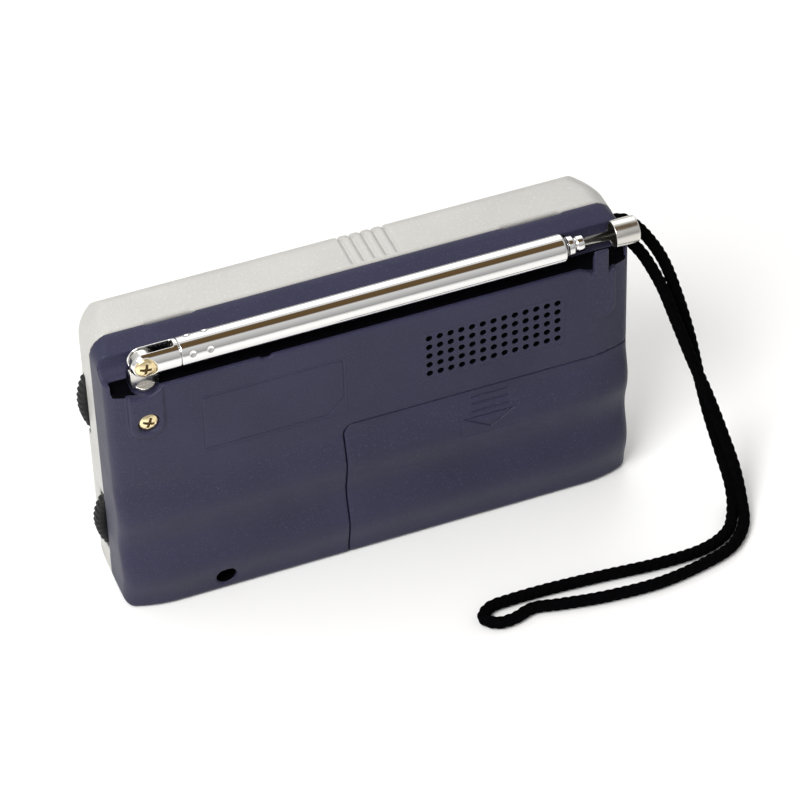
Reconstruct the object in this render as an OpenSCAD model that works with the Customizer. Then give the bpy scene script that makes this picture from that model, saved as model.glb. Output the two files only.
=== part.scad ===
// Pocket shortwave receiver, standing on its lower edge.
// Millimetres. +Z is up, -Y is the dial side, +Y is the back, and +X is the end with the
// two thumbwheels and the aerial's hinge. The origin is the bottom centre of the set.
// The seam between the silver front shell and the navy back shell is the plane Y = 0.

/* [Case] */
// Width of the case along X
case_w = 135; // [134:0.5:136]
// Height of the case along Z
case_h = 79.8; // [79.4:0.1:80.2]
// Depth of the front shell, from the seam to the dial face
front_d = 15.8; // [15.6:0.1:16.2]
// Depth of the back shell at its flat upper part
back_d = 14.2; // [14:0.1:14.4]
// Height of the two finger waves across the lower back
wave_h = 1.6; // [1:0.1:2]
// Thickness of the moulded walls
wall = 1.8; // [1.6:0.1:1.9]

/* [Aerial] */
// Outer radius of the thick base tube
aerial_r = 3.65; // [3.5:0.05:3.7]
// Height of the folded aerial's axis
aerial_z = 77.3; // [77.2:0.1:77.6]
// Distance of the aerial's axis behind the seam
aerial_y = 10.2; // [10.1:0.1:10.4]
// Length that each telescopic section pulls out
section_travel = 92; // [80:1:94]

/* [Controls] */
// Radius of the tuning thumbwheel
tuning_r = 17.3; // [17:0.1:17.6]
// Radius of the volume thumbwheel
volume_r = 13.5; // [12.5:0.5:13.5]
// Distance of the tuning wheel's rim from the middle of the case
tuning_reach = 68.9; // [68.6:0.1:69.2]
// Distance of the volume wheel's rim from the middle of the case
volume_reach = 69.6; // [69:0.1:70]
// Travel of the waveband switch
band_travel = 21; // [14:1:22]
// Travel of the power switch
power_travel = 5; // [4:0.5:6]

/* [Battery door] */
// Edge of the door nearest the wheels
door_x = 9.3; // [9:0.1:9.6]
// Height of the door's upper edge
door_z = 43; // [42.5:0.5:43.5]

/* [Wrist strap] */
// Diameter of the braided cord
strap_d = 3.2; // [3:0.1:3.4]

/* [Hidden] */
$fn = 64;
far = 100;             // a cutting length past every face
half_w = case_w / 2;
gap = 0.25;            // gap around the battery door
fit = 0.05;            // radial clearance of a shaft in its bore
corner_r = 3;          // lower corners of the case seen from the front
top_corner_r = 6;      // upper corners
plan_r = 9;            // front corners of the case seen from above
edge_r = 6;            // long front edges of the case
navy = [0.23, 0.23, 0.33];
silver = [0.82, 0.81, 0.78];

// Lower back: two waves of this pitch start below wave_top
wave_pitch = 20;
wave_top = 41.5;
foot_round = 1.5;
bow_start = 54;        // the back is flat this far from the middle, then bows forward
bow_depth = 3;
back_corner_r = 2.5;

// Finger grip on the battery door
grip_x = [-33.9, -24];
grip_lines = [40.9, 38.8, 36.7];
grip_line = 0.4;
grip_depth = 0.3;
grip_triangle = [[-34.8, 35.2], [-22.2, 35.2], [-28.5, 31.3]];

// Aerial hinge
pivot_x = 57.2;
groove_r = 4;
groove_floor = 70.6;
lip_z = 71.9;
pocket_x = 65.9;       // the deep part of the cradle ends this far from the middle
// Upper edge of the cradle's rear wall, as [x, z]
lip_line = [[63.6, 73.4], [62.8, lip_z], [-53.2, lip_z], [-56.4, 70.4], [-60.4, 69.7], [-66.5, 72.4]];
fin_x = [-60.4, -56.4];
fin_top = 77.3;
pad_rear = back_d + 0.6;
// The roof of the back slopes from the seam to the cradle
roof_y = [0.8, 6.3];
roof_drop = 1.7;
section_r = [aerial_r, 3, 2.1, 1.25];
section_bore = [3.05, 2.15, 1.3];
section_start = [48.4, 45, 44, 43];
section_end = [-50.6, -53, -55.6];
neck_r = [2.4, 1.8];
cap_x = [-69.4, -62.9];
cap_r = 3.5;
swivel_r = 2;          // upright shaft in the case
tongue_half = 3.5;     // half the width of the swivel's tongue
well_r = 3.9;
scoop = [58.9, 77.4, 7.4];   // round cut in the pad below the hinge: x, z, radius
washer_r = 3;

// Circuit board
board_y = -7.9;
board_t = 1.6;
board_back = board_y + board_t;
board_posts = [[11, 12], [-20, 73], [60, 30], [61, 74]];

// Screws that hold the two shells together: x, z, and the y of the head's seat
case_screws = [[58, 61.6, 13.4], [41.9, 4.9, 3.5], [-62.5, 39.3, 3.5], [2.5, 39.3, 3.5]];
screw_head_r = 2.5;
screw_shank_r = 1.1;
screw_l = 16;

// Wheels
tuning_x = tuning_reach - tuning_r;
tuning_z = 51.8;
tuning_y = -11.3;      // dial side face of the wheel
volume_x = volume_reach - volume_r;
volume_z = 18.3;
volume_y = -4.4;
wheel_t = 3;
drum_r = 11.4;
dial_cord_r = 0.2;
guide_x = -8;
guide_z = 61.7;
guide_r = 1.5;
pointer_x = 25;

// Loudspeaker and battery bay
speaker_x = -33;
speaker_z = 38;
speaker_r = 25;
cell_r = 7.1;
cell_y = 4.1;
cell_z = [11.4, 27.4];
bay = [-63, -4.6];
bay_floor = -3.1;
bay_top = 35.8;
deck_y = 9.6;

// Slide switches: left end of the knob, travel, knob width, height of its middle
band_switch = [10.5, band_travel, 8, 29.5];
power_switch = [16.5, power_travel, 5, 16.5];

jacks = [[70, 3, 1.75], [55, 3.6, 2.75]];   // height, barrel radius, bore radius
jack_y = -5.4;
strap_y = 2.8;
strap_z = [71.7, 75.2];

// Wrist strap: out of the eyelet's upper end, down to the table, round the loop's tip and
// back up beside itself to the lower end
strap_route = [
    [-65.4, 2.8, 75.2], [-69.5, 2.8, 74.2], [-74, 3.4, 69.6], [-79, 4.8, 60.5], [-82, 7.5, 50],
    [-83.8, 12, 39], [-84.6, 17, 28], [-85.2, 22, 19.5], [-86, 28, 11.3], [-86.2, 33.5, 5.2],
    [-84.2, 39.2, 2], [-80, 45, 1.7], [-72, 48.4, 1.7], [-60, 48.8, 1.7], [-44, 47.4, 1.7],
    [-30, 46.5, 1.7], [-20, 46.4, 1.7], [-15, 47, 1.7], [-12.4, 49.8, 1.7], [-15, 52.6, 1.7],
    [-19.5, 52.7, 1.7], [-25, 51.2, 1.7], [-32, 52.6, 1.7], [-43, 54.4, 1.7], [-57, 55.1, 1.7],
    [-70, 53.2, 1.7], [-79, 50.2, 1.7], [-85, 44.2, 1.7], [-87.3, 37.5, 4.6], [-87.7, 32, 10.4],
    [-86.6, 26, 18.3], [-84.8, 21, 26.8], [-82.5, 17.2, 34.8], [-80, 13, 44.5], [-77.3, 8.8, 54.8],
    [-74, 5.6, 62.8], [-71, 4, 67.6], [-69, 2.9, 70.9], [-65.4, 2.8, 71.8]
];

// ---- helpers ----

// Box between two corners
module span(x, y, z) {
    translate([x[0], y[0], z[0]]) cube([x[1] - x[0], y[1] - y[0], z[1] - z[0]]);
}

// Cylinders along X and Y between two coordinates
module rod_x(r, x, y, z) {
    translate([x[0], y, z]) rotate([0, 90, 0]) cylinder(r = r, h = x[1] - x[0]);
}

module rod_y(r, x, y, z) {
    translate([x, y[0], z]) rotate([-90, 0, 0]) cylinder(r = r, h = y[1] - y[0]);
}

// Solid of revolution about a line along Y; points are [radius, y]
module turned_y(points, x, z) {
    translate([x, 0, z]) rotate([-90, 0, 0]) rotate_extrude() polygon(points);
}

// Rectangle with round corners, as exact arcs
module round_rect(x, y, r) {
    translate([x[0] + r, y[0]]) square([x[1] - x[0] - 2 * r, y[1] - y[0]]);
    translate([x[0], y[0] + r]) square([x[1] - x[0], y[1] - y[0] - 2 * r]);
    for (cx = [x[0] + r, x[1] - r], cy = [y[0] + r, y[1] - r]) translate([cx, cy]) circle(r);
}

// Upright pad with a round lower end, drawn in X and Z and standing along Y
module pad(x, z, r, y) {
    rod_y(r, x, y, z[0] + r);
    span([x - r, x + r], y, [z[0] + r, z[1]]);
}

// A disc with a fine knurl, about a line along Y
module knurled_disc(r, x, y, z, teeth) {
    translate([x, y[1], z]) rotate([90, 0, 0]) linear_extrude(y[1] - y[0])
        polygon([for (i = [0 : 2 * teeth - 1])
            let (a = 180 * i / teeth, q = i % 2 == 0 ? r : r - 0.45) [q * cos(a), q * sin(a)]]);
}

// The case seen from the front, reduced by d, as a solid along Y
module case_outline(d) {
    translate([0, far, 0]) rotate([90, 0, 0]) linear_extrude(2 * far) intersection() {
        round_rect([-half_w + d, half_w - d], [d, case_h + 20], corner_r - d / 2);
        round_rect([-half_w + d, half_w - d], [-20, case_h - d], top_corner_r - d / 2);
    }
}

// Slice of the front shell's solid block, reduced by d on every side
module front_block(d) {
    intersection() {
        case_outline(d);
        linear_extrude(far) round_rect([-half_w + d, half_w - d], [-front_d + d, far], plan_r - d);
        translate([-far, 0, 0]) rotate([90, 0, 90]) linear_extrude(2 * far)
            round_rect([-front_d + d, far], [d, case_h - d], edge_r - d);
    }
}

// ---- the back's curved surface ----

// How far the back stands out from its flat plane at a height
function wave(z) = z < foot_round ? -pow((foot_round - z) / foot_round, 2)
    : z < wave_top ? wave_h * (1 - cos(360 * (wave_top - z) / wave_pitch)) / 2 : 0;
function bow(x) = abs(x) < bow_start ? 0 : bow_depth * pow((abs(x) - bow_start) / 13.5, 2);

// Outline of the back from above, as [x, y, share of the wave], from +X to -X
corner_x = half_w - back_corner_r;
corner_y = back_d - bow(corner_x) - back_corner_r;
half_outline = concat(
    [[half_w, 0, 0], [half_w, 5, 0.4]],
    [for (a = [0 : 18 : 72]) [corner_x + back_corner_r * cos(a), corner_y + back_corner_r * sin(a), 1]],
    [for (x = [corner_x - 1 : -1.8 : bow_start]) [x, back_d - bow(x), 1]]);
outline = concat(half_outline,
    [for (i = [len(half_outline) - 1 : -1 : 0]) [-half_outline[i][0], half_outline[i][1], half_outline[i][2]]]);
levels = concat([0, 0.5, 1], [for (z = [1.5 : 1.25 : 41.5]) z], [case_h]);

// Solid between the seam and the curved back
module back_block() {
    n = len(outline);
    m = len(levels);
    points = [for (z = levels, p = outline) [p[0], p[1] + p[2] * wave(z), z]];
    sides = [for (j = [0 : m - 2], i = [0 : n - 1]) let (k = (i + 1) % n)
        [j * n + i, (j + 1) * n + i, (j + 1) * n + k, j * n + k]];
    intersection() {
        polyhedron(points, concat(sides, [[for (i = [0 : n - 1]) i]],
            [[for (i = [n - 1 : -1 : 0]) (m - 1) * n + i]]));
        case_outline(0);
    }
}

// Hollow of the back shell seen from above
inner_plan = [[-65.7, -5], [65.7, -5], [65.7, 8.8], [62.5, 11.1], [56, 12.4], [-56, 12.4], [-62.5, 11.1],
    [-65.7, 8.8]];
function inset(d) = [for (p = inner_plan) [p[0] - d * sign(p[0]), p[1] - d]];

// ---- case ----

module front_shell() color(silver) difference() {
    union() {
        difference() {
            front_block(0);
            front_block(wall);
        }
        intersection() {
            front_block(0.5);
            union() {
                for (s = [1 : 3])
                    rod_y(s == 1 ? 2.6 : 2.3, case_screws[s][0], [-front_d, 0.3], case_screws[s][1]);
                for (p = board_posts) rod_y(2.2, p[0], [-front_d, board_y], p[1]);
                rod_y(2.2, case_screws[0][0], [-6.1, 0.3], case_screws[0][1]);
                span([case_screws[0][0], 66.5], [-6.1, 0], [60.8, 62.4]);
                // ring that centres the loudspeaker
                difference() {
                    rod_y(speaker_r + 1.2, speaker_x, [-14.4, -12], speaker_z);
                    rod_y(speaker_r + 0.1, speaker_x, [-15, -11], speaker_z);
                }
                // rests for the dial plate
                for (x = [-5, 55.4]) span([x - 1.4, x], [-14.4, -13], [46, 68]);
                // brackets for the pointer's rail
                for (x = [-8.4, 56.6]) span([x, x + 1.5], [-14.4, -11.6], [70.6, 74]);
                // guide post for the dial cord
                rod_y(guide_r, guide_x, [-14.4, -11.3], guide_z);
            }
        }
    }
    span([-far, far], [0.31, far], [-1, far]);
    difference() {
        span([-far, far], [0, 0.4], [-1, far]);
        case_outline(wall);
    }
    for (s = case_screws) rod_y(screw_shank_r, s[0], [-13, 1], s[1]);
    for (p = board_posts) rod_y(0.9, p[0], [-12, board_y + 1], p[1]);
    rod_x(0.6, [-9, 59], -12.4, 72);
    // slots for the two thumbwheels, and the shallow panel they sit in
    intersection() {
        rod_y(tuning_r + 0.5, tuning_x, [tuning_y - 0.5, tuning_y + wheel_t + 0.5], tuning_z);
        span([60, far], [-far, far], [0, far]);
    }
    intersection() {
        rod_y(volume_r + 0.9, volume_x, [volume_y - 0.5, 1], volume_z);
        span([60, far], [-far, far], [0, far]);
    }
    span([half_w - 0.5, far], [-far, far], [4, 70.3]);
    // dial window with a rebate for the pane
    span([-3, 53], [-front_d - 1, -13], [47, 67]);
    translate([0, -front_d + 1, 0]) rotate([90, 0, 0]) linear_extrude(2)
        round_rect([-4.5, 54.5], [45.5, 68.5], 2);
    // loudspeaker opening with a rebate for the grille
    rod_y(22.5, speaker_x, [-front_d - 1, -13], speaker_z);
    rod_y(24, speaker_x, [-front_d - 1, -front_d + 0.8], speaker_z);
    // switch slots with shallow recesses
    for (s = [band_switch, power_switch]) {
        span([s[0] + s[2] / 2 - 2.3, s[0] + s[2] / 2 + 2.3 + s[1]], [-front_d - 1, -13],
            [s[3] - 1.4, s[3] + 1.4]);
        span([s[0] - 1, s[0] + s[2] + s[1] + 1], [-front_d - 1, -front_d + 0.6], [s[3] - 3.9, s[3] + 3.9]);
    }
    rod_y(1.5, 50, [-front_d - 1, -13], 29.5);
    // sockets in the end wall
    for (j = jacks) rod_x(j[1], [-half_w - 1, -half_w + wall + 1], jack_y, j[0]);
    // five thumb grooves across the top
    for (i = [0 : 4]) intersection() {
        span([-0.8 - 2.9 * i, -0.1 - 2.9 * i], [-far, -1.3], [60, far]);
        difference() {
            span([-20, 5], [-far, far], [50, far]);
            front_block(0.6);
        }
    }
}

// Deck, battery tray and the two screw columns that the door covers
module under_door() {
    difference() {
        span([-far, 12.4], [deck_y, deck_y + 1.4], [2, 46]);
        span(bay, [0, far], [3.1, bay_top]);
    }
    difference() {
        span([bay[0] - 1, bay[1] + 1], [bay_floor - 1.2, deck_y + 1], [1.9, bay_top + 1]);
        span(bay, [bay_floor, far], [3.1, bay_top]);
    }
    for (s = [2, 3]) rod_y(3.1, case_screws[s][0], [0.4, deck_y + 1], case_screws[s][1]);
}

module back_shell() color(navy) difference() {
    union() {
        difference() {
            back_block();
            difference() {
                intersection() {
                    linear_extrude(far) polygon(inner_plan);
                    case_outline(wall);
                }
                span([-far, far], [aerial_y - groove_r - wall, far], [groove_floor - wall, far]);
            }
            // slope of the roof
            translate([-far, 0, 0]) rotate([90, 0, 90]) linear_extrude(2 * far)
                polygon([[roof_y[0], case_h], [roof_y[1], case_h - roof_drop], [roof_y[1], far], [roof_y[0], far]]);
            // room for the battery door
            span([-far, door_x + gap], [-1, far], [-1, door_z + gap]);
        }
        // raised pads at both ends
        pad(58.3, [56.8, 74], 4.4, [12, pad_rear]);
        pad(-58.6, [55.6, fin_top], 3.7, [11, pad_rear]);
        // pieces under the door, which slides past them
        intersection() {
            linear_extrude(far) polygon(inset(0.35));
            under_door();
        }
        // steps that close the edges of the door's opening, and the other screw columns
        span([11, 12.4], [deck_y, 12.5], [2, 46]);
        span([-60, 12.4], [deck_y, 12.5], [44.6, 46]);
        rod_y(2.7, case_screws[0][0], [0.4, 13], case_screws[0][1]);
        rod_y(3.9, case_screws[1][0], [0.4, 13], case_screws[1][1]);
        // bush for the aerial's swivel
        translate([pivot_x, aerial_y, 65.9]) cylinder(r = 4.2, h = 4.1);
    }
    // groove for the folded aerial
    rod_x(groove_r, [-far, far], aerial_y, aerial_z);
    span([-far, far], [aerial_y - groove_r, 12.9], [aerial_z, far]);
    span([-pocket_x, pocket_x], [aerial_y - 0.8, 12.9], [groove_floor, far]);
    difference() {
        translate([0, far, 0]) rotate([90, 0, 0]) linear_extrude(far - 12.5)
            polygon(concat([[far, lip_line[0][1]]], lip_line, [[-far, lip_line[5][1]], [-far, far], [far, far]]));
        // fin that the folded aerial snaps behind
        span(fin_x, [13.3, far], [60, fin_top]);
    }
    rod_y(scoop[2], scoop[0], [aerial_y - 0.8, far], scoop[1]);
    translate([pivot_x, aerial_y, 69.9]) cylinder(r = well_r, h = 20);
    translate([pivot_x, aerial_y, 64.6]) cylinder(r = swivel_r + fit, h = 20);
    translate([pivot_x, aerial_y, 64.6]) cylinder(r = washer_r + 0.2, h = 1.3);
    // cooling holes
    for (i = [0 : 12], j = [0 : 4]) rod_y(0.78, -13.4 - 2.8 * i, [8, 20], 63.7 - 2.8 * j);
    for (s = case_screws) {
        rod_y(screw_shank_r + 0.15, s[0], [-1, 20], s[1]);
        rod_y(screw_head_r + 0.1, s[0], [s[2], 20], s[1]);
    }
    // eyelet for the wrist strap
    translate([-far, 0, 0]) rotate([90, 0, 90]) linear_extrude(far - 62)
        round_rect([strap_y - 1.9, strap_y + 1.9], [strap_z[0] - 2.5, strap_z[1] + 1.85], 1.7);
    // the door's tongue leaves through the floor
    span([door_x - 1, door_x + 1.5], [deck_y + 1.35, 12.4], [-1, 2.2]);
    // volume wheel's slot runs across the seam
    intersection() {
        rod_y(volume_r + 0.9, volume_x, [-1, 0.4], volume_z);
        span([60, far], [-far, far], [0, far]);
    }
}

module battery_door() color(navy) union() {
    difference() {
        intersection() {
            back_block();
            span([-far, door_x], [0.3, far], [0.2, door_z]);
        }
        difference() {
            translate([0, 0, wall]) linear_extrude(far) polygon(inner_plan);
            span([door_x - 0.9, far], [-far, far], [-1, wall]);
        }
        // finger grip: three lines over a triangle that points the way the door slides
        for (z = grip_lines)
            span(grip_x, [back_d + wave(z) - grip_depth, far], [z - grip_line / 2, z + grip_line / 2]);
        translate([0, far, 0]) rotate([90, 0, 0])
            linear_extrude(far - back_d - wave(grip_triangle[0][1]) + grip_depth) difference() {
                polygon(grip_triangle);
                offset(delta = -grip_line) polygon(grip_triangle);
            }
        // the corner nearest the middle is rounded
        translate([0, far, 0]) rotate([90, 0, 0]) linear_extrude(2 * far) difference() {
            translate([door_x - 3, door_z - 3]) square(4);
            translate([door_x - 3, door_z - 3]) circle(3);
        }
    }
    // tongue that slides under the back shell's edge
    span([door_x - 1.5, door_x + 1.2], [deck_y + 1.55, 12.25], [2.4, door_z - 3]);
    span([door_x - 1.5, door_x - 0.3], [deck_y + 1.55, 13], [2.4, door_z - 3]);
}

// Pan head with a cross recess, head pointing along +Y
module cross_screw(x, z, y, head_r, head_h, shank_r, length) {
    difference() {
        union() {
            intersection() {
                rod_y(head_r, x, [y, y + head_h], z);
                translate([x, y + head_h - 4.2, z]) sphere(4.2);
            }
            rod_y(shank_r, x, [y - length, y + 0.1], z);
        }
        for (a = [45, 135]) translate([x, y + head_h - 0.7, z]) rotate([0, a, 0])
            translate([-head_r * 0.62, 0, -0.35]) cube([head_r * 1.24, 2, 0.7]);
    }
}

module case_screws() color("goldenrod") {
    for (s = case_screws) cross_screw(s[0], s[1], s[2], screw_head_r, 1.3, screw_shank_r, screw_l);
}

// ---- loudspeaker ----

module speaker_grille() color(silver) difference() {
    rod_y(23.9, speaker_x, [-front_d, -front_d + 0.8], speaker_z);
    for (ring = [0 : 6], k = [0 : max(0, 6 * ring - 1)]) let (a = ring == 0 ? 0 : 60 * k / ring)
        rod_y(0.9, speaker_x + 3.1 * ring * cos(a), [-front_d - 1, -14], speaker_z + 3.1 * ring * sin(a));
}

module speaker_frame() color("dimgray")
    turned_y([[22.2, -13.9], [25, -13.9], [25, -12.8], [22.9, -12.8], [12.4, -8.2], [3, -8.2], [3, -9], [12, -9],
        [22.2, -13.2]], speaker_x, speaker_z);

module speaker_cone() color([0.15, 0.15, 0.16])
    turned_y([[0, -11.2], [4, -10.6], [5.2, -9.9], [18, -13.2], [20, -13.8], [22.2, -13.7], [22.2, -13.5], [20, -13.4],
        [18.2, -12.8], [5, -9.4], [0, -10.6]], speaker_x, speaker_z);

module speaker_magnet() color("silver")
    turned_y([[0, -8.2], [11, -8.2], [11, -5.2], [10, -4.5], [0, -4.5]], speaker_x, speaker_z);

// ---- dial ----

module dial_window() color([0.85, 0.9, 0.9, 0.4])
    translate([0, -front_d + 1, 0]) rotate([90, 0, 0]) linear_extrude(1)
        round_rect([-4.4, 54.4], [45.6, 68.4], 1.9);

module dial_plate() color([0.95, 0.94, 0.9]) span([-6, 55], [-13, -12.6], [46, 68]);

module dial_pointer() color("red") difference() {
    union() {
        span([pointer_x - 0.4, pointer_x + 0.4], [-13.7, -13.3], [48, 72]);
        span([pointer_x - 2.5, pointer_x + 2.5], [-13.7, -11.6], [70.9, 73.1]);
        span([pointer_x - 1, pointer_x + 1], [-12.2, -11.6], [63.8, 71]);
    }
    rod_x(0.6 + fit, [0, 50], -12.4, 72);
}

module pointer_rail() color("silver") rod_x(0.6, [-8.4, 58.1], -12.4, 72);

// Loop round the tuning drum and the guide post
module cord_outline(d) hull() {
    translate([tuning_x, tuning_z]) circle(drum_r + d);
    translate([guide_x, guide_z]) circle(guide_r + d);
}

module dial_cord() color("ivory")
    translate([0, -11.5, 0]) rotate([90, 0, 0]) linear_extrude(2 * dial_cord_r) difference() {
        cord_outline(0.04 + 2 * dial_cord_r);
        cord_outline(0.04);
    }

// ---- controls ----

module tuning_wheel() color([0.08, 0.08, 0.09]) difference() {
    union() {
        knurled_disc(tuning_r, tuning_x, [tuning_y, tuning_y + wheel_t], tuning_z, 60);
        rod_y(drum_r - 0.1, tuning_x, [tuning_y - 0.9, tuning_y + 0.1], tuning_z);
    }
    rod_y(3, tuning_x, [-far, 0], tuning_z);
}

module tuning_shaft() color("goldenrod") rod_y(3, tuning_x, [tuning_y - 0.9, -2.5], tuning_z);

module tuning_capacitor() color([0.9, 0.9, 0.85]) difference() {
    span([tuning_x - 7.2, tuning_x + 7.2], [board_back, -0.3], [tuning_z - 7.2, tuning_z + 7.2]);
    rod_y(3 + fit, tuning_x, [-far, -2], tuning_z);
}

module volume_wheel() color([0.08, 0.08, 0.09]) difference() {
    knurled_disc(volume_r, volume_x, [volume_y, volume_y + wheel_t + 0.2], volume_z, 48);
    rod_y(2, volume_x, [-far, 0], volume_z);
}

module volume_shaft() color("silver") rod_y(2, volume_x, [-5.8, volume_y + wheel_t + 0.2], volume_z);

module volume_control() color([0.35, 0.3, 0.2]) difference() {
    rod_y(7.5, volume_x, [board_back, -4.7], volume_z);
    rod_y(2 + fit, volume_x, [-6, 0], volume_z);
}

// Knob with a ribbed cap outside the case and a stem into the switch
module switch_knob(s) {
    mid = s[0] + s[2] / 2;
    color([0.12, 0.12, 0.14]) difference() {
        union() {
            span([s[0], s[0] + s[2]], [-front_d - 0.8, -front_d + 0.5], [s[3] - 3.2, s[3] + 3.2]);
            span([mid - 2, mid + 2], [-front_d, -13], [s[3] - 1.2, s[3] + 1.2]);
        }
        for (x = [mid - 1.5, mid, mid + 1.5])
            span([x - 0.3, x + 0.3], [-far, -front_d - 0.4], [0, far]);
    }
}

module switch_body(s, x) {
    mid = s[0] + s[2] / 2;
    color([0.2, 0.2, 0.22]) difference() {
        span(x, [-13.9, board_y], [s[3] - 3.5, s[3] + 3.5]);
        span([mid - 2.6, mid + 2.6 + s[1]], [-far, -12.6], [s[3] - 1.7, s[3] + 1.7]);
    }
}

module band_switch_knob() switch_knob(band_switch);
module band_switch_body() switch_body(band_switch, [8, 46]);
module power_switch_knob() switch_knob(power_switch);
module power_switch_body() switch_body(power_switch, [15, 30]);

module tuning_lamp() color("red") {
    rod_y(1.45, 50, [-front_d - 0.2, -11], 29.5);
    rod_y(1.9, 50, [-11, board_y], 29.5);
}

// ---- electronics ----

module circuit_board() color([0.1, 0.35, 0.2]) difference() {
    union() {
        span([6, 64], [board_y, board_back], [9, 76.5]);
        span([-56, 6], [board_y, board_back], [67, 76.5]);
    }
    rod_y(3.6, tuning_x, [-far, 0], tuning_z);
    for (p = board_posts) rod_y(1.1, p[0], [-far, 0], p[1]);
}

module board_screws() color("silver") {
    for (p = board_posts) cross_screw(p[0], p[1], board_back, 1.9, 1, 0.9, 5);
}

module ferrite_rod() color([0.2, 0.19, 0.19]) rod_x(4, [-52, 22], -1, 73);

module ferrite_coil() color([0.75, 0.4, 0.15]) difference() {
    rod_x(4.7, [-16, 2], -1, 73);
    rod_x(4, [-17, 3], -1, 73);
}

module ferrite_holder() color("white") difference() {
    for (x = [-36, 10]) span([x, x + 4], [board_back, -1], [68.6, 77.4]);
    rod_x(4, [-60, 30], -1, 73);
}

module if_transformers() color("silver") for (x = [10, 20.5, 31]) difference() {
    span([x, x + 7.5], [board_back, 2], [54, 61.5]);
    rod_y(1.7, x + 3.75, [1, 3], 57.75);
}

module electrolytics() color([0.1, 0.1, 0.3]) for (x = [12, 21, 30]) rod_y(3.2, x + 3, [board_back, 2.5], 24);

module chips() color([0.06, 0.06, 0.06]) {
    span([12, 32], [board_back, board_back + 3.2], [39, 46]);
    span([14, 26], [board_back, board_back + 3], [31, 36]);
}

module jack(j, body) {
    color([0.12, 0.12, 0.12]) difference() {
        union() {
            span([-half_w + wall + 0.6, -57], [jack_y - body, jack_y + body], [j[0] - body, j[0] + body]);
            rod_x(j[1], [-half_w + 0.1, -half_w + wall + 0.7], jack_y, j[0]);
        }
        rod_x(j[2], [-far, -58], jack_y, j[0]);
    }
}

module earphone_jack() jack(jacks[0], 3.2);
module dc_jack() {
    jack(jacks[1], 3.9);
    color("silver") rod_x(0.65, [-66.5, -57.9], jack_y, jacks[1][0]);
}

// ---- batteries ----

// AA cell with its raised terminal towards +X (turn = 1) or -X (turn = -1)
module aa_cell(x, z, turn) {
    color([0.15, 0.15, 0.17]) translate([x, cell_y, z]) rotate([0, 90 * turn, 0]) union() {
        cylinder(r = cell_r, h = 49.5);
        cylinder(r = 2.7, h = 50.5);
    }
}

module aa_cell_1() aa_cell(bay[1] - 0.4 - 50.5, cell_z[0], 1);
module aa_cell_2() aa_cell(bay[0] + 0.4 + 50.5, cell_z[1], -1);

module contact_plates() color("silver") for (x = [bay[0], bay[1] - 0.4])
    span([x, x + 0.4], [bay_floor, 9], [4.5, 34.5]);

// Helix of round wire along X: start x, z, length, side that faces the cell's flat end
module spring(x, z, length) {
    turns = 4;
    per_turn = 14;
    wire_r = 0.4;
    n = turns * per_turn;
    sides = 6;
    function centre(i) = let (a = 360 * i / per_turn) [x + wire_r + (length - 2 * wire_r) * i / n,
        cell_y + 3 * cos(a), z + 3 * sin(a)];
    points = [for (i = [0 : n], k = [0 : sides - 1])
        let (a = 360 * i / per_turn, b = 360 * k / sides)
        centre(i) + wire_r * [sin(b), cos(b) * cos(a), cos(b) * sin(a)]];
    walls = [for (i = [0 : n - 1], k = [0 : sides - 1]) let (q = (k + 1) % sides)
        [i * sides + k, i * sides + q, (i + 1) * sides + q, (i + 1) * sides + k]];
    polyhedron(points, concat(walls, [[for (k = [sides - 1 : -1 : 0]) k]],
        [[for (k = [0 : sides - 1]) n * sides + k]]));
}

module battery_springs() color("silver") {
    spring(bay[0] + 0.4, cell_z[0], 7.1);
    spring(bay[1] - 7.5, cell_z[1], 7.1);
}

// ---- aerial ----

module aerial_swivel() color("silver") difference() {
    union() {
        translate([pivot_x, aerial_y, 65]) cylinder(r = swivel_r, h = 6);
        translate([pivot_x, aerial_y, 70.1]) cylinder(r = tongue_half, h = 0.9);
        span([pivot_x - tongue_half, pivot_x + tongue_half], [aerial_y - 1.1, aerial_y + 1.1], [70.5, 75.2]);
        span([pivot_x - 3, pivot_x + 3], [aerial_y - 1.1, aerial_y + 1.1], [75, aerial_z]);
        rod_y(3, pivot_x, [aerial_y - 1.1, aerial_y + 1.1], aerial_z);
    }
    rod_y(1.2 + fit, pivot_x, [-far, far], aerial_z);
}

module swivel_washer() color("silver") difference() {
    translate([pivot_x, aerial_y, 65]) cylinder(r = washer_r, h = 0.8);
    translate([pivot_x, aerial_y, 64]) cylinder(r = swivel_r, h = 3);
}

module aerial_knuckle() color("silver") difference() {
    union() {
        rod_x(aerial_r, [section_start[0], pivot_x], aerial_y, aerial_z);
        translate([pivot_x, aerial_y, aerial_z]) sphere(aerial_r);
        rod_x(3.05, [section_start[0] - 3, pivot_x - 2], aerial_y, aerial_z);
    }
    span([pivot_x - 7.7, far], [aerial_y - 1.25, aerial_y + 1.25], [0, far]);
    rod_y(1.2, pivot_x, [0, far], aerial_z);
    rod_y(2.75, pivot_x, [aerial_y + 2.3, far], aerial_z);
}

module pivot_screw() color("goldenrod")
    cross_screw(pivot_x, aerial_z, aerial_y + 2.3, 2.6, 1.1, 1.2, 5.4);

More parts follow.
